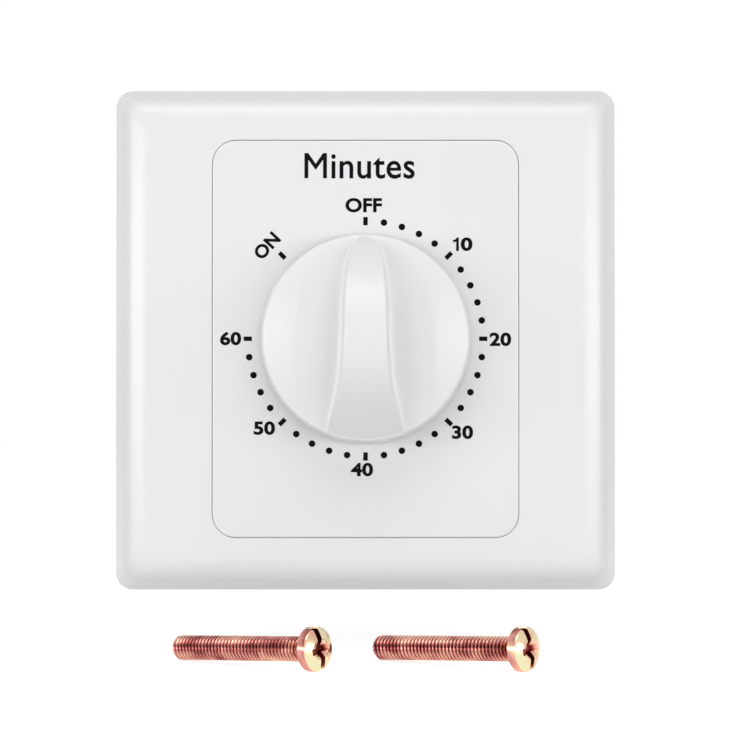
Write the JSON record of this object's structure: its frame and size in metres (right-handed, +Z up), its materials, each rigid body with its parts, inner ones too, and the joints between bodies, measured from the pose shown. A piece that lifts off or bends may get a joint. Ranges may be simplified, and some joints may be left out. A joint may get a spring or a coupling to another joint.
{
  "type": "timer light switch",
  "caption": "Square wall-mounted clockwork countdown timer switch with a round pointer knob, a numbered dial, a clip-on surround, a rear case and loose fixing screws.",
  "frame": {"origin": "midway between the two fixing slots, on the plane of the wall", "axes": "+X right and +Z up as the switch hangs, +Y into the wall, so the dial faces -Y"},
  "size_m": [0.086, 0.0749, 0.0957],
  "materials": {
    "surround_abs": "glossy moulded ABS, cool white",
    "panel_abs": "glossy moulded ABS, cool white",
    "knob_abs": "glossy moulded ABS, cool white",
    "base_plastic": "fine-textured polycarbonate",
    "case_plastic": "fine-textured flame-retardant polycarbonate",
    "insulating_moulding": "brown phenolic moulding",
    "cam_nylon": "natural nylon",
    "brass": "turned and stamped brass",
    "spring_bronze": "rolled phosphor bronze strip",
    "silver_contact": "silver alloy rivet head",
    "spring_steel": "blued spring steel",
    "plated_steel": "nickel-plated steel",
    "yellow_zinc": "yellow-passivated zinc on steel"
  },
  "bodies": {
    "housing": {"mounting_base": "base_plastic", "dial_panel": "panel_abs", "panel_screws": "plated_steel", "case_screws": "plated_steel", "movement_screws": "plated_steel", "rear_case": "case_plastic", "front_plate": "plated_steel", "back_plate": "plated_steel", "plate_pillars": "plated_steel", "pillar_nuts": "plated_steel", "front_bush": "brass", "rear_bush": "brass", "stop_pin": "plated_steel", "mainspring": "spring_steel", "spring_post": "plated_steel", "contact_block": "insulating_moulding", "block_rivets": "plated_steel", "line_terminal": "brass", "load_terminal": "brass", "terminal_screws": "plated_steel", "moving_leaf": "spring_bronze", "fixed_leaf": "spring_bronze", "moving_contact": "silver_contact", "fixed_contact": "silver_contact", "fixing_screws": "yellow_zinc"},
    "surround": {"cover_frame": "surround_abs"},
    "knob_shaft": {"knob": "knob_abs", "knob_spring": "spring_steel", "main_shaft": "plated_steel", "stop_arm": "plated_steel", "drive_collar": "plated_steel", "collar_pin": "plated_steel", "clutch_washer": "spring_steel", "great_wheel": "brass", "spring_hub": "plated_steel", "switch_cam": "cam_nylon", "cam_clip": "plated_steel"},
    "second_train": {"second_arbor": "plated_steel", "second_wheel": "brass"},
    "third_train": {"third_arbor": "plated_steel", "third_wheel": "brass"},
    "escape_train": {"escape_arbor": "plated_steel", "escape_wheel": "brass"},
    "verge": {"verge_arbor": "plated_steel", "verge_fork": "plated_steel", "balance_bar": "plated_steel"}
  },
  "joints": [
    {"name": "cover_pull", "type": "slide", "parent": "housing", "child": "surround", "axis": [0, -1, 0], "range_m": [0, 0.035]},
    {"name": "knob_turn", "type": "hinge", "parent": "housing", "child": "knob_shaft", "pos_m": [0, 0, 0], "axis": [0, 1, 0], "range_deg": [-45, 270]},
    {"name": "second_turn", "type": "hinge", "parent": "housing", "child": "second_train", "pos_m": [-0.01126, 0, -0.00945], "axis": [0, 1, 0], "range_deg": [-1621, 271]},
    {"name": "third_turn", "type": "hinge", "parent": "housing", "child": "third_train", "pos_m": [-0.00348, 0, -0.01397], "axis": [0, 1, 0], "range_deg": [-1351, 8101]},
    {"name": "escape_turn", "type": "hinge", "parent": "housing", "child": "escape_train", "pos_m": [0.00402, 0, -0.01383], "axis": [0, 1, 0], "range_deg": [-32401, 5401]},
    {"name": "verge_rock", "type": "hinge", "parent": "housing", "child": "verge", "pos_m": [0.01078, 0, -0.01202], "axis": [0, 1, 0], "range_deg": [-3, 3]}
  ],
  "couplings": [
    {"joint": "second_turn", "follows": "knob_turn", "ratio": -6},
    {"joint": "third_turn", "follows": "knob_turn", "ratio": 30},
    {"joint": "escape_turn", "follows": "knob_turn", "ratio": -120}
  ]
}
